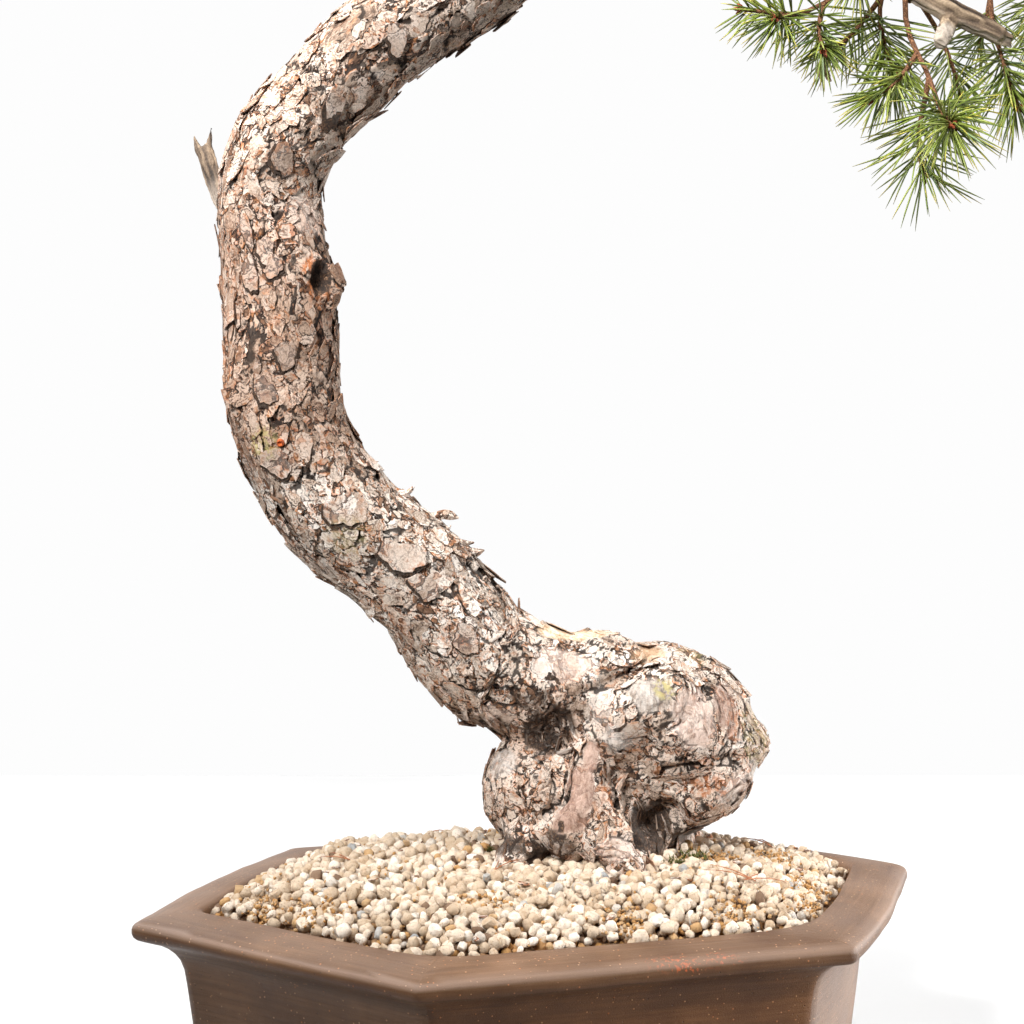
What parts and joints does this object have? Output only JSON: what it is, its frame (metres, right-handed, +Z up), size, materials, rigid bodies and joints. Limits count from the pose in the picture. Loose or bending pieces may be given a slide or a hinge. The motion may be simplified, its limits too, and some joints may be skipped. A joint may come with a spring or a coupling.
{
  "type": "bonsai tree in a pot",
  "caption": "Scots pine bonsai with a C-shaped trunk, a swollen burl at its foot and needled branches, in a hexagonal unglazed pot topped with gravel.",
  "frame": {"origin": "middle of the pot's underside, on the surface that it stands on", "axes": "+Z up along the tree's height, -Y towards the viewer at the tree's front, +X to the viewer's right"},
  "size_m": [0.5045, 0.3268, 0.8541],
  "materials": {
    "clay": "unglazed brown stoneware, matt, with small rust-coloured specks",
    "net": "black plastic net",
    "soil": "dark crumbly bonsai soil",
    "gravel": "cream pumice grains with some ochre and grey ones",
    "bark": "rough plated bark, grey and pinkish tan with rust-coloured layers and dark cracks",
    "deadwood": "bare weathered wood, pale, with grey and brown grain",
    "foliage": "green pine needles in pairs on brown twigs, satin, yellow at some tips"
  },
  "bodies": {
    "root": {"pot": "clay", "drain_net_1": "net", "drain_net_2": "net", "soil": "soil", "gravel": "gravel", "trunk": "bark", "deadwood_left": "deadwood", "deadwood_right": "deadwood", "spray_cascade_1": "foliage", "spray_cascade_2": "foliage", "spray_cascade_3": "foliage", "spray_cascade_4": "foliage", "spray_cascade_5": "foliage", "spray_cascade_6": "foliage", "spray_outer_1": "foliage", "spray_outer_2": "foliage", "spray_outer_3": "foliage", "spray_outer_4": "foliage", "spray_outer_5": "foliage", "spray_right_1": "foliage", "spray_right_2": "foliage", "spray_right_3": "foliage", "spray_right_4": "foliage", "spray_left_1": "foliage", "spray_left_2": "foliage", "spray_left_3": "foliage", "spray_top_1": "foliage", "spray_top_2": "foliage", "spray_top_3": "foliage", "spray_top_4": "foliage", "spray_back_1": "foliage", "spray_back_2": "foliage", "spray_front_1": "foliage"}
  },
  "joints": []
}
